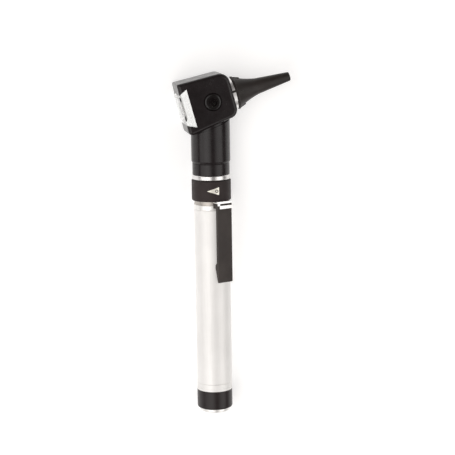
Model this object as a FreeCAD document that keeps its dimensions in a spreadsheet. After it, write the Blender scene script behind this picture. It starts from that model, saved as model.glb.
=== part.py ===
import FreeCAD, Part
import math
import os

import Sketcher

# A pocket otoscope, lying on its side. All sizes are in millimetres and degrees.
# The handle's axis is +Y, from the end disc at the origin up to the head.
# +X points towards the ear tip, and +Z is the side of the head with the air port.
# Head pieces are drawn in the head's own axes, X along the line of sight and Y up,
# with their origin where the line of sight crosses the handle's axis.

# ------------------------------------------------------------------ sizes

SIZES = {
    # end disc and screw cap
    "disc_radius": 7.6,
    "disc_height": 1.7,
    "disc_edge": 0.5,
    "disc_stem_radius": 2.5,
    "cap_height": 9.7,
    "cap_floor": 1.7,
    "cap_bore": 8.28,
    "cap_rounding": 1.0,
    "cap_bevel": 0.2,
    "plate_radius": 6.5,
    "plate_thickness": 0.3,
    "plate_hole": 0.6,
    "coil_base": 4.4,
    "coil_height": 1.6,
    "coil_pitch": 0.8,
    "coil_radius": 5.4,
    "coil_wire": 0.35,
    # handle tube and its two metal rings
    "tube_radius": 9.0,
    "tube_bore": 8.0,
    "tube_base": 15.2,
    "tube_length": 89.8,
    "ring_bore": 7.42,
    "thread_base": 4.8,
    "thread_radius": 8.2,
    "thread_length": 6.6,
    "thread_bevel": 0.3,
    "bottom_ring_height": 3.8,
    "groove_place": 1.3,
    "groove_depth": 0.2,
    "groove_width": 0.3,
    "spigot_length": 6.0,
    "top_ring_base": 99.0,
    "top_band_height": 2.5,
    "top_band_bevel": 0.15,
    "step_radius": 8.7,
    "step_height": 3.2,
    # AA cells
    "cell_radius": 7.25,
    "cell_length": 49.5,
    "cell_edge": 0.5,
    "cell_tip_radius": 2.75,
    "cell_tip_height": 1.0,
    "lower_cell_base": 6.8,
    "upper_cell_base": 57.3,
    # spindle and contacts
    "spindle_base": 108.2,
    "drum_height": 2.5,
    "shaft_radius": 5.0,
    "shaft_length": 17.8,
    "shaft_chamfer": 0.6,
    "spindle_bore": 2.4,
    "insulator_bore": 1.75,
    "insulator_length": 19.8,
    "plunger_base": 107.85,
    "plunger_radius": 1.65,
    "plunger_head": 2.1,
    "plunger_stem": 0.7,
    "plunger_length": 5.0,
    "contact_edge": 0.5,
    "press_base": 110.3,
    "press_pitch": 0.9,
    "press_height": 3.2,
    "press_radius": 1.2,
    "press_wire": 0.25,
    "contact_base": 115.4,
    "contact_length": 13.2,
    # switch collar
    "collar_base": 109.5,
    "collar_radius": 9.9,
    "collar_height": 10.4,
    "collar_skirt": 8.8,
    "collar_hollow": 8.2,
    "collar_web_low": 8.2,
    "collar_web_high": 9.7,
    "collar_recess": 7.9,
    "collar_bore": 5.08,
    "collar_bevel": 0.35,
    "skirt_height": 1.8,
    "track_radius": 7.4,
    "track_height": 1.6,
    "washer_base": 119.4,
    "washer_bore": 5.2,
    "washer_radius": 7.6,
    "washer_height": 0.5,
    "wiper_near": 5.8,
    "wiper_far": 7.2,
    "wiper_tip": 3.0,
    "wiper_bend": 1.0,
    "wiper_toe": 0.8,
    "wiper_sheet": 0.4,
    "wiper_width": 2.4,
    "pointer_height": 5.5,
    "pointer_tip": -3.7,
    "pointer_back": 2.3,
    "pointer_half": 2.0,
    "pointer_seat": 9.7,
    "pointer_face": 9.96,
    "mark_face": 10.08,
    "mark_place": 1.1,
    "mark_radius": 0.8,
    "mark_bore": 0.45,
    # chrome ring and neck
    "chrome_base": 120.0,
    "chrome_radius": 9.6,
    "chrome_height": 2.5,
    "chrome_rounding": 0.6,
    "neck_ring_base": 122.5,
    "neck_ring_radius": 9.4,
    "neck_ring_height": 5.7,
    "neck_bore": 8.0,
    "neck_edge": 0.3,
    "sleeve_base": 122.6,
    "sleeve_length": 7.8,
    "sleeve_depth": 6.3,
    "seal_groove_base": 2.0,
    "seal_groove_height": 1.2,
    "seal_groove_radius": 6.1,
    "seal_radius": 5.55,
    "seal_wire": 0.45,
    "seal_height": 125.2,
    "neck_base": 128.2,
    "neck_radius": 9.8,
    "neck_taper": 1.2,
    "neck_length": 24.0,
    "seam_height": 0.7,
    "seam_radius": 9.2,
    "seam_past": 2.0,
    # lamp and light guide
    "holder_base": 130.4,
    "holder_height": 3.6,
    "holder_bore": 2.9,
    "lamp_base": 128.7,
    "lamp_radius": 2.55,
    "lamp_stem": 5.8,
    "lamp_edge": 0.4,
    "lamp_flange": 1.0,
    "bulb_base": 134.5,
    "bulb_radius": 2.2,
    "bulb_wall": 0.3,
    "bulb_barrel": 3.8,
    "filament_height": 2.6,
    "filament_half": 0.7,
    "filament_wire": 0.15,
    "guide_base": 141.4,
    "guide_radius": 1.5,
    "guide_drop": 5.4,
    "guide_bend": 4.0,
    # head box, in the head's axes
    "optical_height": 159.4,
    "head_tilt": 15,
    "rear_top": -15.0,
    "rear_bottom": -15.7,
    "box_front": 11.0,
    "top_rear": 13.1,
    "top_front": 12.5,
    "bottom_rear": -13.1,
    "bottom_front": -10.5,
    "box_width": 20.0,
    "box_corner": 5.2,
    "box_low_corner": 4.5,
    "box_rear_corner": 2.0,
    "box_rear_edge": 0.8,
    "box_edge": 1.8,
    "slot_floor": -10.95,
    "slot_half": 9.8,
    "slot_mouth_half": 7.9,
    "slot_mouth": -15.0,
    "slot_past": -18.0,
    "slot_past_half": 6.4,
    "overcut": 0.3,
    "cavity_rear": -7.6,
    "cavity_front": 8.4,
    "cavity_half": 7.5,
    "window_radius": 6.0,
    "gasket_radius": 7.0,
    "gasket_face": -10.35,
    "nose_hole": 6.0,
    "neck_hole": 4.6,
    "neck_hole_base": 140.0,
    "neck_hole_length": 16.0,
    # air port
    "port_bore": 2.3,
    "port_stem": 3.0,
    "port_inner": 6.9,
    "port_seat": 9.2,
    "port_flange": 4.05,
    "port_face": 9.8,
    "port_curve": 0.49,
    "port_lip": 3.2,
    "port_recess": 4.6,
    # nose and speculum
    "nose_face": 12.75,
    "nose_ring_radius": 8.0,
    "nose_ring_edge": 0.4,
    "notch_floor": 6.9,
    "notch_width": 1.1,
    "notch_height": 2.2,
    "seat_radius": 5.2,
    "seat_end": 15.6,
    "cone_start": 4.2,
    "cone_mid": 22.0,
    "cone_mid_radius": 2.9,
    "cone_end": 30.0,
    "cone_end_radius": 2.2,
    "cone_bore": 3.5,
    "cone_bore_mid": 2.2,
    "cone_bore_end": 1.7,
    "fibre_face": 7.0,
    "fibre_bore": 4.6,
    "fibre_outer": 7.2,
    "hub_base": 12.85,
    "hub_bore": 5.28,
    "flange_radius": 8.4,
    "flange_height": 1.0,
    "flange_bevel": 0.2,
    "lug_inset": 0.5,
    "lug_end": 4.2,
    "lug_root": 5.6,
    "lug_tip_radius": 6.9,
    "lug_width": 1.5,
    "tab_play": 0.1,
    "tab_floor": 7.0,
    "tab_height": 0.9,
    "tab_width": 0.9,
    "tab_root": 0.3,
    "flare_start": 7.9,
    "flare_end": 24.7,
    "flare_radius": 4.05,
    "flare_curve": 40.0,
    "tip_place": 42.1,
    "tip_radius": 2.3,
    "tip_edge": 0.6,
    "tip_bore": 1.55,
    "funnel_wall": 0.65,
    "hub_inner_end": 16.4,
    "funnel_start_bore": 5.0,
    # viewing lens
    "lens_front": -11.01,
    "lens_half": 9.7,
    "lens_rear": -15.6,
    "lens_mouth_half": 7.52,
    "lens_recess": 6.6,
    "lens_recess_floor": -14.5,
    "lens_dome_radius": 5.6,
    "lens_dome": -15.5,
    "lens_curve": 16.18,
    "grip_near": -12.9,
    "grip_far": -14.3,
    "grip_half": 6.6,
    "grip_floor": 9.5,
    "grip_depth": 0.8,
    # pocket clip
    "clip_angle": 23,
    "clip_half": 4.1,
    "clip_face": 12.3,
    "clip_inner": 10.35,
    "clip_joint": 106.3,
    "clip_end": 68.75,
    "clip_end_inner": 11.2,
    "clip_foot_near": 9.15,
    "clip_foot_low": 75.8,
    "clip_foot_high": 77.4,
    "clip_foot_rise": 78.8,
    "clip_end_radius": 0.7,
    "clip_edge": 0.3,
    "clip_gap": 0.05,
    "trim_height": 1.6,
    "trim_face": 12.45,
    "trim_inner": 11.6,
    "trim_reach": 3.1,
    "root_low": 8.0,
    "root_top": 108.95,
    "tongue_height": 1.0,
    "tongue_face": 12.35,
    "tongue_rise": 0.45,
    "lip_inner": 11.2,
    "leg_floor": 12.0,
    "leg_reach": 2.8,
}

doc = FreeCAD.newDocument("Otoscope")
sheet = doc.addObject("Spreadsheet::Sheet", "Sizes")
for row, (size_name, size_value) in enumerate(SIZES.items(), start=1):
    sheet.set("A%d" % row, size_name)
    sheet.set("B%d" % row, str(size_value))
    sheet.setAlias("B%d" % row, size_name)
doc.recompute()

CLOSE = 0.001
SUB_PARTS = []


def keep(piece):
    """Remember a finished sub-part, which is written to its own file."""
    SUB_PARTS.append(piece)
    return piece


def amount(text):
    """The value of a sum such as 'cap_height - cap_floor + 0.2'."""
    total = 0.0
    sign = 1
    for word in str(text).split():
        if word == "+":
            sign = 1
        elif word == "-":
            sign = -1
        else:
            total += sign * (SIZES[word] if word in SIZES else float(word))
    return total


def bound(text):
    """The same sum as an expression that reads the sheet."""
    words = str(text).split()
    return " ".join("Sizes." + word if word in SIZES else word for word in words)


# ------------------------------------------------------------------ sketches and features

def new_body(name):
    body = doc.addObject("PartDesign::Body", name)
    body.Label = name
    return body


def origin_item(body, role):
    return [item for item in body.Origin.OriginFeatures if item.Role == role][0]


def attach(body, sketch, plane, lift=None):
    sketch.AttachmentSupport = [(origin_item(body, plane), "")]
    sketch.MapMode = "FlatFace"
    if lift is not None:
        sketch.setExpression("AttachmentOffset.Base.z", bound(lift))


def draw(body, name, outline, plane="XY_Plane", lift=None):
    """A sketch through the outline's points, each held by two dimensions.

    A point is (x, y). The edge after it is straight, or an arc when the point is
    (x, y, radius, side), with side 1 to bulge left of the way along and -1 right.
    """
    sketch = body.newObject("Sketcher::SketchObject", name)
    attach(body, sketch, plane, lift)
    places = [FreeCAD.Vector(amount(point[0]), amount(point[1]), 0) for point in outline]
    count = len(outline)
    ends = []
    for index in range(count):
        start = places[index]
        finish = places[(index + 1) % count]
        if len(outline[index]) == 2:
            sketch.addGeometry(Part.LineSegment(start, finish), False)
            ends.append((1, 2))
            continue
        radius = amount(outline[index][2])
        side = outline[index][3]
        chord = finish - start
        sagitta = radius - math.sqrt(radius ** 2 - (chord.Length / 2) ** 2)
        left = FreeCAD.Vector(-chord.y, chord.x, 0).normalize()
        middle = (start + finish) / 2 + left * (side * sagitta)
        if side > 0:
            sketch.addGeometry(Part.Arc(finish, middle, start), False)
            ends.append((2, 1))
        else:
            sketch.addGeometry(Part.Arc(start, middle, finish), False)
            ends.append((1, 2))
        which = sketch.addConstraint(Sketcher.Constraint("Radius", index, radius))
        sketch.setExpression("Constraints[%d]" % which, bound(outline[index][2]))
    for index in range(count):
        after = (index + 1) % count
        sketch.addConstraint(
            Sketcher.Constraint("Coincident", index, ends[index][1], after, ends[after][0]))
    for index, point in enumerate(outline):
        for kind, text in (("DistanceX", point[0]), ("DistanceY", point[1])):
            which = sketch.addConstraint(
                Sketcher.Constraint(kind, -1, 1, index, ends[index][0], amount(text)))
            sketch.setExpression("Constraints[%d]" % which, bound(text))
    return sketch


def draw_circle(body, name, x, y, radius):
    sketch = body.newObject("Sketcher::SketchObject", name)
    attach(body, sketch, "XY_Plane")
    centre = FreeCAD.Vector(amount(x), amount(y), 0)
    sketch.addGeometry(Part.Circle(centre, FreeCAD.Vector(0, 0, 1), amount(radius)), False)
    for kind, text in (("DistanceX", x), ("DistanceY", y)):
        which = sketch.addConstraint(Sketcher.Constraint(kind, -1, 1, 0, 3, amount(text)))
        sketch.setExpression("Constraints[%d]" % which, bound(text))
    which = sketch.addConstraint(Sketcher.Constraint("Radius", 0, amount(radius)))
    sketch.setExpression("Constraints[%d]" % which, bound(radius))
    return sketch


def turn(body, sketch, axis="V_Axis", kind="Revolution"):
    feature = body.newObject("PartDesign::" + kind, sketch.Name + "_turn")
    feature.Profile = sketch
    feature.ReferenceAxis = (sketch, [axis])
    feature.Angle = 360
    return feature


def pad(body, sketch, length, kind="Pad", both_ways=True, is_reversed=False):
    feature = body.newObject("PartDesign::" + kind, sketch.Name + "_" + kind.lower())
    feature.Profile = sketch
    feature.setExpression("Length", bound(length))
    feature.Midplane = both_ways
    feature.Reversed = is_reversed
    return feature


def stand(piece, height):
    """Put a piece at its height along the handle."""
    piece.setExpression("Placement.Base.y", bound(height))


def tilt(piece):
    """Put a piece drawn in the head's axes where the head is."""
    piece.setExpression("Placement.Base.y", bound("optical_height"))
    piece.setExpression("Placement.Rotation.Angle", bound("head_tilt"))


def turned(name, outline, height="0"):
    """A piece turned about the handle's axis: points are (radius, height)."""
    body = new_body(name)
    turn(body, draw(body, name + "_outline", outline))
    stand(body, height)
    return body


def nose_turned(name, outline):
    """A piece turned about the line of sight: points are (along, radius)."""
    body = new_body(name)
    turn(body, draw(body, name + "_outline", outline), "H_Axis")
    tilt(body)
    return body


def ring(name, bore, radius, length, height):
    return turned(name, [(bore, 0), (radius, 0), (radius, length), (bore, length)], height)


def coil(name, radius, wire, pitch, height, base):
    body = new_body(name)
    profile = draw_circle(body, name + "_wire", radius, "0", wire)
    helix = body.newObject("PartDesign::AdditiveHelix", name + "_helix")
    helix.Profile = profile
    helix.ReferenceAxis = (profile, ["V_Axis"])
    helix.Mode = 0
    helix.setExpression("Pitch", bound(pitch))
    helix.setExpression("Height", bound(height))
    stand(body, base)
    return body


def handle_cylinder(name, radius, length, base="0"):
    """A plain cylinder round the handle's axis, used to cut other pieces."""
    cylinder = doc.addObject("Part::Cylinder", name)
    cylinder.setExpression("Radius", bound(radius))
    cylinder.setExpression("Height", bound(length))
    along_handle = FreeCAD.Rotation(FreeCAD.Vector(1, 0, 0), -90)
    cylinder.Placement = FreeCAD.Placement(FreeCAD.Vector(), along_handle)
    stand(cylinder, base)
    return cylinder


def cut(name, base, tool):
    result = doc.addObject("Part::Cut", name)
    result.Label = name
    result.Base = base
    result.Tool = tool
    return result


def common(name, base, tool):
    result = doc.addObject("Part::Common", name)
    result.Label = name
    result.Base = base
    result.Tool = tool
    return result


# ------------------------------------------------------------------ base cap

def make_base_disc():
    keep(turned("base_disc", [
        ("0", "0"),
        ("disc_radius - disc_edge", "0", "disc_edge", -1),
        ("disc_radius", "disc_edge"),
        ("disc_radius", "disc_height"),
        ("disc_stem_radius", "disc_height"),
        ("disc_stem_radius", "disc_height + cap_floor"),
        ("0", "disc_height + cap_floor"),
    ]))


def make_base_cap():
    keep(turned("base_cap", [
        ("disc_stem_radius", "0"),
        ("tube_radius - cap_rounding", "0", "cap_rounding", -1),
        ("tube_radius", "cap_rounding"),
        ("tube_radius", "cap_height - cap_bevel"),
        ("tube_radius - cap_bevel", "cap_height"),
        ("cap_bore", "cap_height"),
        ("cap_bore", "cap_floor"),
        ("disc_stem_radius", "cap_floor"),
    ], "disc_height"))


def make_cap_contacts():
    keep(ring("spring_plate", "plate_hole", "plate_radius", "plate_thickness",
              "disc_height + cap_floor"))
    keep(coil("battery_spring", "coil_radius", "coil_wire", "coil_pitch",
              "coil_height", "coil_base"))


# ------------------------------------------------------------------ handle

def make_bottom_ferrule():
    top = "thread_length + bottom_ring_height"
    line = "thread_length + groove_place"
    keep(turned("bottom_ferrule", [
        ("ring_bore", "0"),
        ("thread_radius - thread_bevel", "0"),
        ("thread_radius", "thread_bevel"),
        ("thread_radius", "thread_length"),
        ("tube_radius", "thread_length"),
        ("tube_radius", line),
        ("tube_radius - groove_depth", line),
        ("tube_radius - groove_depth", line + " + groove_width"),
        ("tube_radius", line + " + groove_width"),
        ("tube_radius", top + " - groove_width"),
        ("tube_radius - groove_depth", top),
        ("tube_bore", top),
        ("tube_bore", top + " + spigot_length"),
        ("ring_bore", top + " + spigot_length"),
    ], "thread_base"))


def make_handle_tube():
    keep(turned("handle_tube", [
        ("tube_bore", "0"),
        ("tube_radius - groove_depth", "0"),
        ("tube_radius", "groove_depth"),
        ("tube_radius", "tube_length - groove_depth"),
        ("tube_radius - groove_depth", "tube_length"),
        ("tube_bore", "tube_length"),
    ], "tube_base"))


def make_top_ferrule():
    band_top = "spigot_length + top_band_height"
    keep(turned("top_ferrule", [
        ("ring_bore", "0"),
        ("tube_bore", "0"),
        ("tube_bore", "spigot_length"),
        ("tube_radius - groove_depth", "spigot_length"),
        ("tube_radius", "spigot_length + groove_depth"),
        ("tube_radius", band_top + " - top_band_bevel"),
        ("tube_radius - top_band_bevel", band_top),
        ("step_radius", band_top),
        ("step_radius", band_top + " + step_height"),
        ("ring_bore", band_top + " + step_height"),
    ], "top_ring_base"))


def make_cell(name, base):
    keep(turned(name, [
        ("0", "0"),
        ("cell_radius - cell_edge", "0", "cell_edge", -1),
        ("cell_radius", "cell_edge"),
        ("cell_radius", "cell_length - cell_edge", "cell_edge", -1),
        ("cell_radius - cell_edge", "cell_length"),
        ("cell_tip_radius", "cell_length"),
        ("cell_tip_radius", "cell_length + cell_tip_height"),
        ("0", "cell_length + cell_tip_height"),
    ], base))


def make_spindle():
    top = "drum_height + shaft_length"
    keep(turned("handle_spindle", [
        ("spindle_bore", "0"),
        ("ring_bore", "0"),
        ("ring_bore", "drum_height"),
        ("shaft_radius", "drum_height"),
        ("shaft_radius", top + " - shaft_chamfer"),
        ("shaft_radius - shaft_chamfer", top),
        ("spindle_bore", top),
    ], "spindle_base"))
    keep(ring("contact_insulator", "insulator_bore", "spindle_bore", "insulator_length",
              "spindle_base"))
    keep(turned("upper_contact", [
        ("0", "0"),
        ("insulator_bore", "0"),
        ("insulator_bore", "contact_length - contact_edge", "contact_edge", -1),
        ("insulator_bore - contact_edge", "contact_length"),
        ("0", "contact_length"),
    ], "contact_base"))
    keep(ring("rheostat_ring", "shaft_radius", "track_radius", "track_height",
              "spindle_base + drum_height"))


def make_plunger():
    keep(turned("contact_plunger", [
        ("0", "0"),
        ("plunger_radius - contact_edge", "0", "contact_edge", -1),
        ("plunger_radius", "contact_edge"),
        ("plunger_radius", "plunger_head"),
        ("plunger_stem", "plunger_head"),
        ("plunger_stem", "plunger_length"),
        ("0", "plunger_length"),
    ], "plunger_base"))
    keep(coil("plunger_spring", "press_radius", "press_wire", "press_pitch",
              "press_height", "press_base"))


# ------------------------------------------------------------------ switch collar

def pointer_prism(name):
    body = new_body(name)
    sketch = draw(body, name + "_outline", [
        ("pointer_tip", "0"),
        ("pointer_back", "0 - pointer_half"),
        ("pointer_back", "pointer_half"),
    ])
    pad(body, sketch, "collar_radius + collar_radius", both_ways=False)
    stand(body, "collar_base + pointer_height")
    return body


def shell(name, near, far):
    """A thin tube round the collar that bounds an inlay's depth."""
    return ring(name, near, far, "collar_height", "collar_base")


def make_collar():
    top = "collar_height"
    blank = turned("collar_blank", [
        ("collar_skirt", "0"),
        ("collar_radius - collar_bevel", "0"),
        ("collar_radius", "collar_bevel"),
        ("collar_radius", top + " - collar_bevel"),
        ("collar_radius - collar_bevel", top),
        ("collar_recess", top),
        ("collar_recess", "collar_web_high"),
        ("collar_bore", "collar_web_high"),
        ("collar_bore", "collar_web_low"),
        ("collar_hollow", "collar_web_low"),
        ("collar_hollow", "skirt_height"),
        ("collar_skirt", "skirt_height"),
    ], "collar_base")
    seat = common("pointer_seat_space", pointer_prism("pointer_seat_prism"),
                  shell("pointer_seat_shell", "pointer_seat", "mark_face"))
    keep(cut("collar", blank, seat))
    keep(common("collar_pointer", pointer_prism("pointer_prism"),
                shell("pointer_shell", "pointer_seat", "pointer_face")))
    mark = new_body("mark_column")
    pad(mark, draw_circle(mark, "mark_circle", "mark_place", "0", "mark_radius"),
        "collar_radius + collar_radius", both_ways=False)
    pad(mark, draw_circle(mark, "mark_hole", "mark_place", "0", "mark_bore"),
        "collar_radius + collar_radius", "Pocket", both_ways=False, is_reversed=True)
    stand(mark, "collar_base + pointer_height")
    keep(common("collar_pointer_ring", mark,
                shell("mark_shell", "pointer_face", "mark_face")))


def make_wiper():
    wiper = new_body("wiper_contact")
    sketch = draw(wiper, "wiper_outline", [
        ("wiper_near", "collar_web_low - wiper_sheet"),
        ("wiper_far - wiper_sheet", "collar_web_low - wiper_sheet"),
        ("wiper_far - wiper_sheet", "wiper_tip + wiper_bend"),
        ("wiper_near", "wiper_tip"),
        ("wiper_far - wiper_sheet", "wiper_tip"),
        ("wiper_far", "wiper_tip + wiper_toe"),
        ("wiper_far", "collar_web_low"),
        ("wiper_near", "collar_web_low"),
    ])
    pad(wiper, sketch, "wiper_width")
    stand(wiper, "collar_base")
    keep(wiper)


def make_upper_rings():
    keep(ring("wave_washer", "washer_bore", "washer_radius", "washer_height", "washer_base"))
    keep(turned("retaining_ring", [
        ("shaft_radius", "0"),
        ("chrome_radius - chrome_rounding", "0", "chrome_rounding", -1),
        ("chrome_radius", "chrome_rounding"),
        ("chrome_radius", "chrome_height - chrome_rounding", "chrome_rounding", -1),
        ("chrome_radius - chrome_rounding", "chrome_height"),
        ("shaft_radius", "chrome_height"),
    ], "chrome_base"))


# ------------------------------------------------------------------ neck and lamp

def make_neck_ring():
    keep(turned("neck_ring", [
        ("neck_bore", "0"),
        ("neck_ring_radius - neck_edge", "0", "neck_edge", -1),
        ("neck_ring_radius", "neck_edge"),
        ("neck_ring_radius", "neck_ring_height - neck_edge", "neck_edge", -1),
        ("neck_ring_radius - neck_edge", "neck_ring_height"),
        ("neck_bore", "neck_ring_height"),
    ], "neck_ring_base"))


def make_head_connector():
    groove_top = "seal_groove_base + seal_groove_height"
    keep(turned("head_connector", [
        ("collar_bore", "0"),
        ("neck_bore", "0"),
        ("neck_bore", "sleeve_length"),
        ("lamp_radius", "sleeve_length"),
        ("lamp_radius", "sleeve_depth"),
        ("collar_bore", "sleeve_depth"),
        ("collar_bore", groove_top),
        ("seal_groove_radius", groove_top),
        ("seal_groove_radius", "seal_groove_base"),
        ("collar_bore", "seal_groove_base"),
    ], "sleeve_base"))


def make_connector_o_ring():
    seal = doc.addObject("Part::Torus", "connector_o_ring")
    seal.Label = "connector_o_ring"
    seal.setExpression("Radius1", bound("seal_radius"))
    seal.setExpression("Radius2", bound("seal_wire"))
    along_handle = FreeCAD.Rotation(FreeCAD.Vector(1, 0, 0), -90)
    seal.Placement = FreeCAD.Placement(FreeCAD.Vector(), along_handle)
    stand(seal, "seal_height")
    keep(seal)


def make_seam_space():
    """The groove round the neck just under the head box's sloping underside."""
    band = new_body("seam_band")
    pad(band, draw(band, "seam_outline", [
        ("rear_bottom", "bottom_rear - seam_height"),
        ("box_front", "bottom_front - seam_height"),
        ("box_front", "bottom_front + seam_past"),
        ("rear_bottom", "bottom_rear + seam_past"),
    ]), "box_width + seam_past")
    tilt(band)
    return cut("seam_space", band, handle_cylinder("seam_core", "seam_radius", "optical_height"))


def make_neck_shell():
    """The neck runs up the handle's axis and ends on the head box's sloping underside."""
    blank = turned("neck_blank", [
        ("neck_bore", "0"),
        ("neck_ring_radius - neck_edge", "0", "neck_edge", -1),
        ("neck_ring_radius", "neck_edge"),
        ("neck_radius", "neck_taper"),
        ("neck_radius", "neck_length"),
        ("neck_bore", "neck_length"),
    ], "neck_base")
    topped = cut("neck_topped", blank, head_form("head_block"))
    keep(cut("neck_shell", topped, make_seam_space()))


def make_lamp():
    keep(ring("lamp_holder", "holder_bore", "neck_bore", "holder_height", "holder_base"))
    keep(turned("lamp_base", [
        ("0", "0"),
        ("lamp_radius - lamp_edge", "0"),
        ("lamp_radius", "lamp_edge"),
        ("lamp_radius", "lamp_stem - lamp_flange"),
        ("holder_bore", "lamp_stem - lamp_flange"),
        ("holder_bore", "lamp_stem"),
        ("0", "lamp_stem"),
    ], "lamp_base"))
    keep(turned("lamp_bulb", [
        ("0", "bulb_barrel + bulb_radius - bulb_wall"),
        ("0", "bulb_barrel + bulb_radius", "bulb_radius", 1),
        ("bulb_radius", "bulb_barrel"),
        ("bulb_radius", "0"),
        ("bulb_radius - bulb_wall", "0"),
        ("bulb_radius - bulb_wall", "bulb_barrel", "bulb_radius - bulb_wall", -1),
    ], "bulb_base"))


def make_filament():
    """Two posts and the coil between them, drawn as one thin frame."""
    filament = new_body("lamp_filament")
    inner = "filament_half - filament_wire"
    sketch = draw(filament, "filament_outline", [
        ("0 - filament_half", "0"),
        ("filament_wire - filament_half", "0"),
        ("filament_wire - filament_half", "filament_height - filament_wire"),
        (inner, "filament_height - filament_wire"),
        (inner, "0"),
        ("filament_half", "0"),
        ("filament_half", "filament_height"),
        ("0 - filament_half", "filament_height"),
    ])
    pad(filament, sketch, "filament_wire")
    stand(filament, "bulb_base")
    keep(filament)


def make_fibre_bundle():
    """A light guide that rises from the lamp and bends forward under the line of sight."""
    lean = math.radians(sheet.head_tilt)
    up = FreeCAD.Vector(math.sin(lean), math.cos(lean), 0)
    ahead = FreeCAD.Vector(1, 0, 0)
    half_turn = (math.pi / 2 - lean) / 2
    corner = up * (-sheet.guide_drop / up.y)
    start = up * (sheet.guide_base - sheet.optical_height)
    finish = FreeCAD.Vector(sheet.fibre_face, -sheet.guide_drop, 0)
    reach = sheet.guide_bend * math.tan(half_turn)
    bend_start = corner - up * reach
    bend_finish = corner + ahead * reach
    inset = sheet.guide_bend / math.cos(half_turn) - sheet.guide_bend
    bend_middle = corner + (ahead - up).normalize() * inset
    path = Part.Wire([
        Part.LineSegment(start, bend_start).toShape(),
        Part.Arc(bend_start, bend_middle, bend_finish).toShape(),
        Part.LineSegment(bend_finish, finish).toShape(),
    ])
    section = Part.Wire(Part.makeCircle(sheet.guide_radius, start, up))
    guide = doc.addObject("Part::Feature", "fibre_bundle")
    guide.Label = "fibre_bundle"
    guide.Shape = path.makePipeShell([section], True, False)
    tilt(guide)
    keep(guide)


# ------------------------------------------------------------------ head box

def edges_at_sides(shape, half_width):
    """Names of the edges that lie wholly in one of the two side planes."""
    names = []
    for index, edge in enumerate(shape.Edges, start=1):
        box = edge.BoundBox
        is_flat = box.ZMax - box.ZMin < CLOSE
        if is_flat and abs(abs(box.ZMax) - half_width) < CLOSE:
            names.append("Edge%d" % index)
    return names


def head_form(name):
    """The head box as a solid with rounded corners and edges."""
    body = new_body(name)
    sketch = draw(body, name + "_outline", [
        ("rear_bottom + box_rear_corner", "bottom_rear"),
        ("box_front - box_low_corner", "bottom_front", "box_low_corner", -1),
        ("box_front", "bottom_front + box_low_corner"),
        ("box_front", "top_front - box_corner", "box_corner", -1),
        ("box_front - box_corner", "top_front"),
        ("rear_top + box_rear_edge", "top_rear", "box_rear_edge", -1),
        ("rear_top", "top_rear - box_rear_edge"),
        ("rear_bottom", "bottom_rear + box_rear_corner", "box_rear_corner", -1),
    ])
    block = pad(body, sketch, "box_width")
    tilt(body)
    doc.recompute()
    rounding = body.newObject("PartDesign::Fillet", name + "_edges")
    rounding.Base = (block, edges_at_sides(block.Shape, sheet.box_width / 2))
    rounding.setExpression("Radius", bound("box_edge"))
    doc.recompute()
    return body


def rectangle(left, bottom, right, top):
    return [(left, bottom), (right, bottom), (right, top), (left, top)]


def make_head_housing():
    body = head_form("head_box")
    slot = draw(body, "lens_slot", [
        ("slot_past", "0 - slot_past_half"),
        ("slot_mouth", "0 - slot_mouth_half"),
        ("slot_floor", "0 - slot_half"),
        ("slot_floor", "slot_half"),
        ("slot_mouth", "slot_mouth_half"),
        ("slot_past", "slot_past_half"),
    ])
    pad(body, slot, "box_width + overcut", "Pocket")
    cavity = draw(body, "cavity", rectangle(
        "cavity_rear", "0 - cavity_half", "cavity_front", "cavity_half"))
    pad(body, cavity, "cavity_half + cavity_half", "Pocket")
    window = draw(body, "window", [
        ("slot_floor - overcut", "0"),
        ("cavity_rear + overcut", "0"),
        ("cavity_rear + overcut", "window_radius"),
        ("gasket_face", "window_radius"),
        ("gasket_face", "gasket_radius"),
        ("slot_floor - overcut", "gasket_radius"),
    ])
    turn(body, window, "H_Axis", "Groove")
    nose = draw(body, "nose_opening", rectangle(
        "cavity_front - overcut", "0", "box_front + overcut", "nose_hole"))
    turn(body, nose, "H_Axis", "Groove")
    port = draw(body, "port_seat_outline", [
        ("0", "cavity_half - overcut"),
        ("port_stem", "cavity_half - overcut"),
        ("port_stem", "port_seat"),
        ("port_flange", "port_seat"),
        ("port_recess", "port_face + overcut"),
        ("0", "port_face + overcut"),
    ], plane="XZ_Plane")
    turn(body, port, "V_Axis", "Groove")
    hole = handle_cylinder("neck_hole_space", "neck_hole", "neck_hole_length", "neck_hole_base")
    keep(cut("head_housing", body, hole))


def make_port_fitting():
    body = new_body("port_fitting")
    turn(body, draw(body, "port_outline", [
        ("port_bore", "port_inner"),
        ("port_stem", "port_inner"),
        ("port_stem", "port_seat"),
        ("port_flange", "port_seat"),
        ("port_flange", "port_face", "port_curve", -1),
        ("port_lip", "port_face"),
        ("port_bore", "port_face"),
    ], plane="XZ_Plane"))
    tilt(body)
    keep(body)


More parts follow.
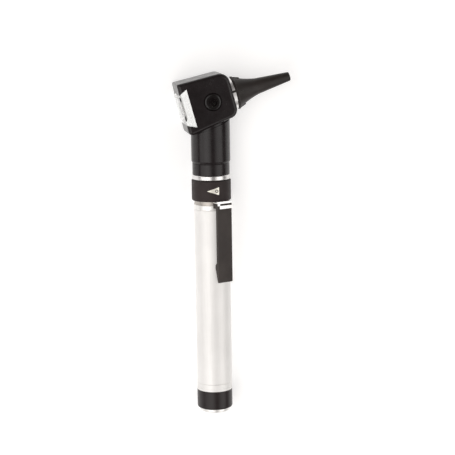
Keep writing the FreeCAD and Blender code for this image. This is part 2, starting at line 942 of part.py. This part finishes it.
def make_lens():
    keep(nose_turned("lens_gasket", rectangle(
        "slot_floor", "window_radius", "gasket_face", "gasket_radius")))
    lens = new_body("viewing_lens")
    block = draw(lens, "lens_block", [
        ("lens_front", "0 - lens_half"),
        ("lens_front", "lens_half"),
        ("lens_rear", "lens_mouth_half"),
        ("lens_rear", "0 - lens_mouth_half"),
    ])
    pad(lens, block, "box_width")
    bulge = draw(lens, "lens_bulge", [
        ("lens_rear - overcut", "0"),
        ("lens_rear - overcut", "lens_recess"),
        ("lens_recess_floor", "lens_recess"),
        ("lens_recess_floor", "lens_dome_radius", "lens_curve", -1),
        ("lens_dome", "0"),
    ])
    turn(lens, bulge, "H_Axis", "Groove")
    grip_space = rectangle("grip_far", "0 - grip_half", "grip_near", "grip_half")
    for name, floor, is_front in (("front_grip", "grip_floor", True),
                                  ("back_grip", "0 - grip_floor", False)):
        grip = draw(lens, name, grip_space, lift=floor)
        pad(lens, grip, "grip_depth", "Pocket", both_ways=False, is_reversed=is_front)
    tilt(lens)
    keep(lens)


# ------------------------------------------------------------------ nose and ear tip

def make_nose():
    keep(nose_turned("fibre_ring", rectangle(
        "fibre_face", "fibre_bore", "cavity_front", "fibre_outer")))
    keep(nose_turned("nose_cone", [
        ("cavity_front", "cone_bore"),
        ("cone_mid", "cone_bore_mid"),
        ("cone_end", "cone_bore_end"),
        ("cone_end", "cone_end_radius"),
        ("cone_mid", "cone_mid_radius"),
        ("seat_end", "cone_start"),
        ("seat_end", "seat_radius"),
        ("nose_face", "seat_radius"),
        ("nose_face", "nose_hole"),
        ("cavity_front", "nose_hole"),
    ]))
    nose_ring = nose_turned("nose_ring", [
        ("box_front", "nose_hole"),
        ("nose_face", "nose_hole"),
        ("nose_face", "nose_ring_radius - nose_ring_edge", "nose_ring_edge", -1),
        ("nose_face - nose_ring_edge", "nose_ring_radius"),
        ("box_front", "nose_ring_radius"),
    ])
    notch = draw(nose_ring, "notch", rectangle(
        "box_front - overcut", "notch_height - notch_width",
        "nose_face + overcut", "notch_height"), lift="notch_floor")
    pad(nose_ring, notch, "nose_ring_radius", "Pocket", both_ways=False, is_reversed=True)
    keep(nose_ring)


def make_speculum():
    flange = "hub_base + flange_height"
    speculum = nose_turned("speculum", [
        ("hub_base", "hub_bore"),
        ("hub_inner_end", "hub_bore"),
        ("hub_inner_end", "funnel_start_bore"),
        ("flare_end", "flare_radius - funnel_wall"),
        ("tip_place", "tip_bore"),
        ("tip_place", "tip_radius - tip_edge", "tip_edge", -1),
        ("tip_place - tip_edge", "tip_radius"),
        ("flare_end", "flare_radius", "flare_curve", 1),
        (flange, "flare_start"),
        (flange, "flange_radius - flange_bevel"),
        (flange + " - flange_bevel", "flange_radius"),
        ("hub_base", "flange_radius"),
    ])
    sketch = draw(speculum, "lug_outline", [
        (flange + " - lug_inset", "lug_root"),
        ("hub_base + lug_end", "lug_root"),
        ("hub_base + lug_end", "lug_tip_radius"),
        (flange + " - lug_inset", "flange_radius - flange_bevel"),
    ])
    lug = pad(speculum, sketch, "lug_width")
    tab = draw(speculum, "locating_tab", rectangle(
        "box_front + tab_play", "notch_height - tab_play - tab_width",
        "hub_base + tab_root", "notch_height - tab_play"), lift="tab_floor")
    pad(speculum, tab, "tab_height", both_ways=False)
    lugs = speculum.newObject("PartDesign::PolarPattern", "lugs")
    lugs.Originals = [lug]
    lugs.Axis = (origin_item(speculum, "X_Axis"), [""])
    lugs.Angle = 360
    lugs.Occurrences = 4
    speculum.Tip = lugs
    keep(speculum)


# ------------------------------------------------------------------ pocket clip

def swing(piece):
    """Turn a piece round the handle's axis to the side where the clip is."""
    piece.Placement.Rotation = FreeCAD.Rotation(FreeCAD.Vector(0, 1, 0), sheet.clip_angle)
    piece.setExpression("Placement.Rotation.Angle", bound("clip_angle"))


def clip_block(name, outline):
    """A piece of the clip: points are (along the handle, out from its axis)."""
    body = new_body(name)
    pad(body, draw(body, name + "_outline", outline, plane="YZ_Plane"), "clip_half + clip_half")
    swing(body)
    return body


def add_plate(body, name, outline, low, high):
    """A plate on the clip's face: points are (across the clip, along the handle)."""
    plate = draw(body, name + "_outline", outline, lift=low)
    pad(body, plate, high + " - " + low, both_ways=False)


def make_clip_arm():
    """The arm stands off the tube, and its foot grips the cloth above a flared tip."""
    arm = clip_block("pocket_clip", [
        ("clip_foot_low", "clip_foot_near"),
        ("clip_foot_high", "clip_foot_near"),
        ("clip_foot_rise", "clip_inner"),
        ("clip_joint - clip_gap", "clip_inner"),
        ("clip_joint - clip_gap", "clip_face"),
        ("clip_end + clip_end_radius", "clip_face", "clip_end_radius", -1),
        ("clip_end", "clip_face - clip_end_radius"),
        ("clip_end", "clip_end_inner"),
    ])
    doc.recompute()
    block = arm.Tip
    long_edges = []
    for index, edge in enumerate(block.Shape.Edges, start=1):
        box = edge.BoundBox
        is_outer = box.ZMin > sheet.clip_face - CLOSE
        if is_outer and box.YMax - box.YMin > 2 * sheet.clip_half:
            long_edges.append("Edge%d" % index)
    rounding = arm.newObject("PartDesign::Fillet", "clip_edges")
    rounding.Base = (block, long_edges)
    rounding.setExpression("Radius", bound("clip_edge"))
    keep(arm)


def saddled(name, block):
    """The block with its near side cut to sit on the tube."""
    saddle = handle_cylinder(name + "_saddle", "tube_radius", "root_top + root_top")
    return cut(name, block, saddle)


def make_clip_mount():
    """The black root, the chrome band on its face and the chrome tongue above it."""
    trim_top = "clip_joint + trim_height"
    trim = new_body("clip_trim")
    add_plate(trim, "trim", rectangle("0 - trim_reach", "clip_joint", "clip_half", trim_top),
              "trim_inner", "trim_face")
    swing(trim)
    keep(trim)
    tongue = clip_block("tongue_block", [
        ("root_top", "root_low"),
        ("root_top", "tongue_face"),
        ("root_top + tongue_height", "tongue_face"),
        ("root_top + tongue_height", "lip_inner"),
        ("root_top + tongue_rise", "lip_inner"),
        ("root_top + tongue_rise", "root_low"),
    ])
    add_plate(tongue, "leg", rectangle("0 - clip_half", trim_top, "0 - leg_reach", "root_top"),
              "leg_floor", "tongue_face")
    tongue = keep(saddled("clip_tongue", tongue))
    root = clip_block("root_block", rectangle(
        "clip_joint", "root_low", "root_top", "clip_face"))
    root = cut("root_under_trim", saddled("root_saddled", root), trim)
    keep(cut("clip_root", root, tongue))


# ------------------------------------------------------------------ build and write

make_base_disc()
make_base_cap()
make_cap_contacts()
make_bottom_ferrule()
make_handle_tube()
make_top_ferrule()
make_cell("battery_lower", "lower_cell_base")
make_cell("battery_upper", "upper_cell_base")
make_spindle()
make_plunger()
make_collar()
make_wiper()
make_upper_rings()
make_neck_ring()
make_head_connector()
make_connector_o_ring()
make_neck_shell()
make_lamp()
make_filament()
make_fibre_bundle()
make_head_housing()
make_port_fitting()
make_lens()
make_nose()
make_speculum()
make_clip_arm()
make_clip_mount()
doc.recompute()

for item in doc.Objects:
    if "Invalid" in item.State or "Error" in item.State:
        raise RuntimeError("%s did not build: %s" % (item.Label, item.State))
for piece in SUB_PARTS:
    if piece.Shape.isNull() or not piece.Shape.isValid():
        raise RuntimeError("%s has no valid shape" % piece.Label)

os.makedirs("parts", exist_ok=True)
for piece in SUB_PARTS:
    piece.Shape.exportStep("parts/%s.step" % piece.Label)
    print("%-20s %9.2f mm3" % (piece.Label, piece.Shape.Volume))
print(len(SUB_PARTS), "sub-parts")
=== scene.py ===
import math

import bpy
from mathutils import Matrix, Vector


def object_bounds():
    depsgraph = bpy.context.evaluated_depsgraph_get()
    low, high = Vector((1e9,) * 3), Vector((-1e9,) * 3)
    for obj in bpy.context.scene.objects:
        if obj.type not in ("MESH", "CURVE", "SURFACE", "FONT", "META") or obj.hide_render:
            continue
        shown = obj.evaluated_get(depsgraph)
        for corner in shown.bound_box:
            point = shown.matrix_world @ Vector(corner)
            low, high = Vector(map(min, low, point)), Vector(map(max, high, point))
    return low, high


# A pocket otoscope lying on a white table. Everything is in metres, in the part's own
# frame: +Y along the handle towards the head, +X towards the ear tip, +Z up off the table.

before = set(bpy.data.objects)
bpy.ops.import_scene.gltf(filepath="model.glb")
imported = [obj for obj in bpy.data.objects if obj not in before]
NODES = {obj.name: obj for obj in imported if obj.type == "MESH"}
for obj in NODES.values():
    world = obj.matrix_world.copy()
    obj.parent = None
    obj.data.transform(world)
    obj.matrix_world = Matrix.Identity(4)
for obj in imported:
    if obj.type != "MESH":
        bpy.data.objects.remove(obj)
cad_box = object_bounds()

# ------------------------------------------------------------------ camera

CAMERA_DISTANCE = 0.760
CAMERA_SIDE = math.radians(10)      # round towards the viewing lens
CAMERA_RISE = math.radians(10)      # towards the head's end
CAMERA_ROLL = math.radians(-0.9)
CAMERA_AIM = Vector((0.00795, 0.0947, 0.0))
IMAGE_WIDTH = 455
FOCAL_PIXELS = 1500
SENSOR = 36.0


def make_camera():
    away = Vector((
        -math.sin(CAMERA_SIDE) * math.cos(CAMERA_RISE),
        math.sin(CAMERA_RISE),
        math.cos(CAMERA_SIDE) * math.cos(CAMERA_RISE),
    ))
    right = Vector((0, 1, 0)).cross(away).normalized()
    up = away.cross(right)
    rolled_right = math.cos(CAMERA_ROLL) * right + math.sin(CAMERA_ROLL) * up
    rolled_up = away.cross(rolled_right)
    data = bpy.data.cameras.new("camera")
    data.sensor_width = SENSOR
    data.lens = FOCAL_PIXELS / IMAGE_WIDTH * SENSOR
    data.clip_start = 0.01
    camera = bpy.data.objects.new("camera", data)
    turn = Matrix((rolled_right, rolled_up, away)).transposed().to_4x4()
    camera.matrix_world = Matrix.Translation(CAMERA_AIM + away * CAMERA_DISTANCE) @ turn
    bpy.context.scene.collection.objects.link(camera)
    bpy.context.scene.camera = camera


# ------------------------------------------------------------------ light and table

LIGHT_DISTANCE = 0.9
LIGHT_LENGTH = 1.5
LIGHT_CENTRE = Vector((0.0, -0.10, 0.0))
# Two soft boxes that leave a dim gap overhead. Each strip is (degrees from straight up
# towards +X, half width in degrees, radiance, whether it casts a shadow). Only two on the
# left cast one, so that the shadow falls to the right.
SOFT_STRIPS = {
    "left_low": (-61, 15, 1.3, False),
    "left_main": (-33, 13, 1.75, True),
    "left_edge": (-14, 6, 1.1, True),
    "right_edge": (20, 5, 0.7, False),
    "right_fade": (31, 6, 1.4, False),
    "right_main": (50, 13, 1.6, False),
}
LAMP_COLOUR = (1.0, 0.985, 0.97)
FLOOR_GLOW = 0.28                   # the table gives off a little light of its own
FLOOR_SIDE = 12.0
FLOOR_COLOUR = (0.90, 0.90, 0.90, 1.0)
FLOOR_ROUGHNESS = 0.7
ROOM_COLOUR = (1.0, 0.93, 0.90, 1.0)
ROOM_STRENGTH = 0.16


def make_soft_strip(name, angle, half_width, radiance, has_shadow):
    """A long strip of soft light over the table, parallel to the handle."""
    turn = math.radians(angle)
    away = Vector((math.sin(turn), 0, math.cos(turn)))
    data = bpy.data.lights.new(name, "AREA")
    data.shape = "RECTANGLE"
    data.size = 2 * LIGHT_DISTANCE * math.tan(math.radians(half_width))
    data.size_y = LIGHT_LENGTH
    data.energy = radiance * math.pi * data.size * data.size_y
    data.color = LAMP_COLOUR
    data.use_shadow = has_shadow
    light = bpy.data.objects.new(name, data)
    across = Vector((0, 1, 0)).cross(away)
    facing = Matrix((across, Vector((0, 1, 0)), away)).transposed().to_4x4()
    light.matrix_world = Matrix.Translation(LIGHT_CENTRE + away * LIGHT_DISTANCE) @ facing
    bpy.context.scene.collection.objects.link(light)


def make_room():
    world = bpy.data.worlds.new("room")
    world.use_nodes = True
    background = world.node_tree.nodes["Background"]
    background.inputs["Color"].default_value = ROOM_COLOUR
    background.inputs["Strength"].default_value = ROOM_STRENGTH
    bpy.context.scene.world = world
    bpy.context.scene.view_settings.view_transform = "Standard"


def make_table():
    lowest = cad_box[0][2]
    bpy.ops.mesh.primitive_plane_add(size=FLOOR_SIDE, location=(0, 0, lowest))
    table = bpy.context.object
    table.name = "table"
    material, _, shader = new_material("table_white")
    shader.inputs["Base Color"].default_value = FLOOR_COLOUR
    shader.inputs["Roughness"].default_value = FLOOR_ROUGHNESS
    shader.inputs["Emission Color"].default_value = (1.0, 1.0, 1.0, 1.0)
    shader.inputs["Emission Strength"].default_value = FLOOR_GLOW
    table.data.materials.append(material)


# ------------------------------------------------------------------ materials

# How fine each texture is, and how much rougher a smudge is than clean glass.
PLASTIC_SHADE = 90.0
PLASTIC_GLOSS = 260.0
METAL_SHADE = 60.0
SMUDGES = 300.0
SMUDGE_GAIN = 2.5


def new_material(name):
    material = bpy.data.materials.new(name)
    material.use_nodes = True
    tree = material.node_tree
    return material, tree, tree.nodes["Principled BSDF"]


def place_of(tree, stretch=(1, 1, 1)):
    """The point on the piece in metres, stretched along each axis."""
    where = tree.nodes.new("ShaderNodeTexCoord")
    mapping = tree.nodes.new("ShaderNodeMapping")
    mapping.inputs["Scale"].default_value = stretch
    tree.links.new(where.outputs["Object"], mapping.inputs["Vector"])
    return mapping.outputs["Vector"]


def noise(tree, scale, detail=3.0, stretch=(1, 1, 1)):
    texture = tree.nodes.new("ShaderNodeTexNoise")
    texture.inputs["Scale"].default_value = scale
    texture.inputs["Detail"].default_value = detail
    tree.links.new(place_of(tree, stretch), texture.inputs["Vector"])
    return texture.outputs["Fac"]


def spread(tree, value, low, high, near=0.35, far=0.65):
    """Maps a texture's middle range onto the range low to high."""
    ranged = tree.nodes.new("ShaderNodeMapRange")
    ranged.inputs["From Min"].default_value = near
    ranged.inputs["From Max"].default_value = far
    ranged.inputs["To Min"].default_value = low
    ranged.inputs["To Max"].default_value = high
    tree.links.new(value, ranged.inputs["Value"])
    return ranged.outputs["Result"]


def blend_colours(tree, value, first, second):
    mix = tree.nodes.new("ShaderNodeMix")
    mix.data_type = "RGBA"
    mix.inputs["A"].default_value = (*first, 1.0)
    mix.inputs["B"].default_value = (*second, 1.0)
    tree.links.new(value, mix.inputs["Factor"])
    return mix.outputs["Result"]


def add_bump(tree, shader, height, depth):
    bump = tree.nodes.new("ShaderNodeBump")
    bump.inputs["Strength"].default_value = 1.0
    bump.inputs["Distance"].default_value = depth
    tree.links.new(height, bump.inputs["Height"])
    tree.links.new(bump.outputs["Normal"], shader.inputs["Normal"])


def plastic(name, dark, light, rough_low, rough_high, grain, grain_depth, specular=0.26):
    """Moulded plastic: two close shades, uneven gloss and a fine moulded grain."""
    material, tree, shader = new_material(name)
    shade = spread(tree, noise(tree, PLASTIC_SHADE), 0.0, 1.0)
    tree.links.new(blend_colours(tree, shade, dark, light), shader.inputs["Base Color"])
    gloss = spread(tree, noise(tree, PLASTIC_GLOSS, 5.0), rough_low, rough_high)
    tree.links.new(gloss, shader.inputs["Roughness"])
    shader.inputs["Specular IOR Level"].default_value = specular
    add_bump(tree, shader, noise(tree, grain, 2.0), grain_depth)
    return material


def metal(name, dark, light, rough_low, rough_high, stretch, scratch_depth):
    """Turned or brushed metal: fine lines along the unstretched axis."""
    material, tree, shader = new_material(name)
    shader.inputs["Metallic"].default_value = 1.0
    shade = spread(tree, noise(tree, METAL_SHADE), 0.0, 1.0)
    tree.links.new(blend_colours(tree, shade, dark, light), shader.inputs["Base Color"])
    lines = noise(tree, 1.0, 4.0, stretch)
    tree.links.new(spread(tree, lines, rough_low, rough_high), shader.inputs["Roughness"])
    add_bump(tree, shader, lines, scratch_depth)
    return material


def clear(name, colour, roughness, ior, transmission=1.0):
    material, tree, shader = new_material(name)
    shader.inputs["Base Color"].default_value = (*colour, 1.0)
    shader.inputs["IOR"].default_value = ior
    shader.inputs["Transmission Weight"].default_value = transmission
    smudge = spread(tree, noise(tree, SMUDGES, 4.0), roughness, roughness * SMUDGE_GAIN)
    tree.links.new(smudge, shader.inputs["Roughness"])
    return material


LENGTHWISE = (4200, 40, 4200)
ROUND_THE_HANDLE = (60, 5200, 60)
ALL_WAYS = (2200, 2200, 2200)
STEP_LOW = 0.10745                  # the ferrule's step lies between these heights
STEP_HIGH = 0.10755
BAND_BRIGHT = (0.86, 0.85, 0.83)
BAND_PALE = (0.90, 0.89, 0.87)
# Painted shade: the step just under the overhanging collar gets this darker grey in place of
# the band's colour.
STEP_PAINTED_SHADE = (0.46, 0.43, 0.40)


def ferrule_metal():
    """The bright band of the top ferrule, and the step above it in a darker grey that is
    painted shade from the overhanging collar.
    """
    material = metal("ferrule_satin", BAND_BRIGHT, BAND_PALE,
                     0.34, 0.44, ROUND_THE_HANDLE, 0.000002)
    tree = material.node_tree
    apart = tree.nodes.new("ShaderNodeSeparateXYZ")
    tree.links.new(place_of(tree), apart.inputs["Vector"])
    # Painted shade: above STEP_LOW the band's colour turns to the darker step grey, standing
    # in for the collar's shade.
    height = spread(tree, apart.outputs["Y"], 0.0, 1.0, STEP_LOW, STEP_HIGH)
    shade = blend_colours(tree, height, BAND_BRIGHT, STEP_PAINTED_SHADE)
    tree.links.new(shade, tree.nodes["Principled BSDF"].inputs["Base Color"])
    return material


def make_materials():
    return {
        "head_black": plastic("gloss_black", (0.009, 0.0065, 0.007), (0.014, 0.0105, 0.011),
                              0.20, 0.28, 5200.0, 0.000004, 0.34),
        "cap_black": plastic("cap_black", (0.012, 0.008, 0.008), (0.018, 0.012, 0.012),
                             0.30, 0.38, 4200.0, 0.000006, 0.35),
        "collar_black": plastic("matt_black", (0.022, 0.015, 0.0145), (0.030, 0.021, 0.020),
                                0.48, 0.60, 2600.0, 0.00002),
        "clip_black": plastic("clip_black", (0.040, 0.033, 0.030), (0.052, 0.043, 0.039),
                              0.50, 0.62, 3600.0, 0.00001),
        "tip_black": plastic("tip_black", (0.018, 0.0145, 0.013), (0.026, 0.021, 0.019),
                             0.36, 0.48, 4200.0, 0.000008),
        "port_black": plastic("port_black", (0.004, 0.003, 0.003), (0.007, 0.0055, 0.005),
                              0.12, 0.18, 3000.0, 0.000002, 0.5),
        "tube_satin": metal("tube_satin", (0.87, 0.86, 0.845), (0.91, 0.90, 0.885),
                            0.58, 0.68, LENGTHWISE, 0.000002),
        "ferrule": ferrule_metal(),
        "disc_satin": metal("disc_satin", (0.88, 0.87, 0.85), (0.92, 0.91, 0.89),
                            0.36, 0.46, ROUND_THE_HANDLE, 0.000002),
        "chrome": metal("chrome_plate", (0.72, 0.71, 0.70), (0.78, 0.77, 0.76),
                        0.24, 0.32, ROUND_THE_HANDLE, 0.000001),
        "nose_satin": metal("nose_satin", (0.90, 0.89, 0.88), (0.94, 0.93, 0.92),
                            0.30, 0.38, ALL_WAYS, 0.000002),
        "steel": metal("turned_steel", (0.50, 0.49, 0.47), (0.60, 0.59, 0.57),
                       0.22, 0.34, ROUND_THE_HANDLE, 0.000003),
        "brass": metal("turned_brass", (0.66, 0.46, 0.17), (0.76, 0.56, 0.24),
                       0.20, 0.32, ROUND_THE_HANDLE, 0.000003),
        "inlay": metal("pale_inlay", (0.84, 0.81, 0.72), (0.92, 0.90, 0.82),
                       0.40, 0.52, ALL_WAYS, 0.000004),
        "cell": plastic("cell_sleeve", (0.03, 0.10, 0.06), (0.04, 0.13, 0.08),
                        0.22, 0.32, 900.0, 0.000004),
        "white": plastic("white_insulator", (0.72, 0.70, 0.64), (0.80, 0.78, 0.73),
                         0.45, 0.60, 1800.0, 0.00001),
        "brown": plastic("brown_track", (0.10, 0.045, 0.02), (0.15, 0.07, 0.035),
                         0.35, 0.50, 1800.0, 0.00001),
        "rubber": plastic("seal_rubber", (0.012, 0.012, 0.012), (0.022, 0.022, 0.022),
                          0.60, 0.75, 3000.0, 0.00001),
        # A grey darker than clear acrylic, so that the block shows on the bright table.
        "acrylic": clear("clear_acrylic", (0.62, 0.62, 0.61), 0.05, 1.49),
        "lamp_glass": clear("lamp_glass", (0.98, 0.98, 0.97), 0.01, 1.47),
        "fibre": clear("glass_fibre", (0.90, 0.90, 0.84), 0.20, 1.52, 0.4),
    }


NODE_LOOKS = {
    "base_disc": "disc_satin", "base_cap": "cap_black", "spring_plate": "steel",
    "battery_spring": "steel", "bottom_ferrule": "tube_satin", "handle_tube": "tube_satin",
    "top_ferrule": "ferrule", "battery_lower": "cell", "battery_upper": "cell",
    "handle_spindle": "steel", "contact_insulator": "white", "upper_contact": "brass",
    "rheostat_ring": "brown", "contact_plunger": "brass", "plunger_spring": "steel",
    "collar": "collar_black", "collar_pointer": "inlay", "collar_pointer_ring": "collar_black",
    "wiper_contact": "brass", "wave_washer": "steel", "retaining_ring": "chrome",
    "neck_ring": "head_black", "head_connector": "steel", "connector_o_ring": "rubber",
    "neck_shell": "head_black", "lamp_holder": "white", "lamp_base": "brass",
    "lamp_bulb": "lamp_glass", "lamp_filament": "steel", "fibre_bundle": "fibre",
    "head_housing": "head_black", "port_fitting": "port_black", "lens_gasket": "rubber",
    "viewing_lens": "acrylic", "fibre_ring": "collar_black", "nose_cone": "steel",
    "nose_ring": "nose_satin", "speculum": "tip_black", "pocket_clip": "clip_black",
    "clip_trim": "chrome", "clip_root": "clip_black", "clip_tongue": "nose_satin",
}


def dress_nodes(looks):
    for name, look in NODE_LOOKS.items():
        node = NODES[name]
        node.data.materials.clear()
        node.data.materials.append(looks[look])


# ------------------------------------------------------------------ the scene

make_camera()
for strip_name, strip_words in SOFT_STRIPS.items():
    make_soft_strip(strip_name, *strip_words)
make_room()
make_table()
materials = make_materials()
dress_nodes(materials)
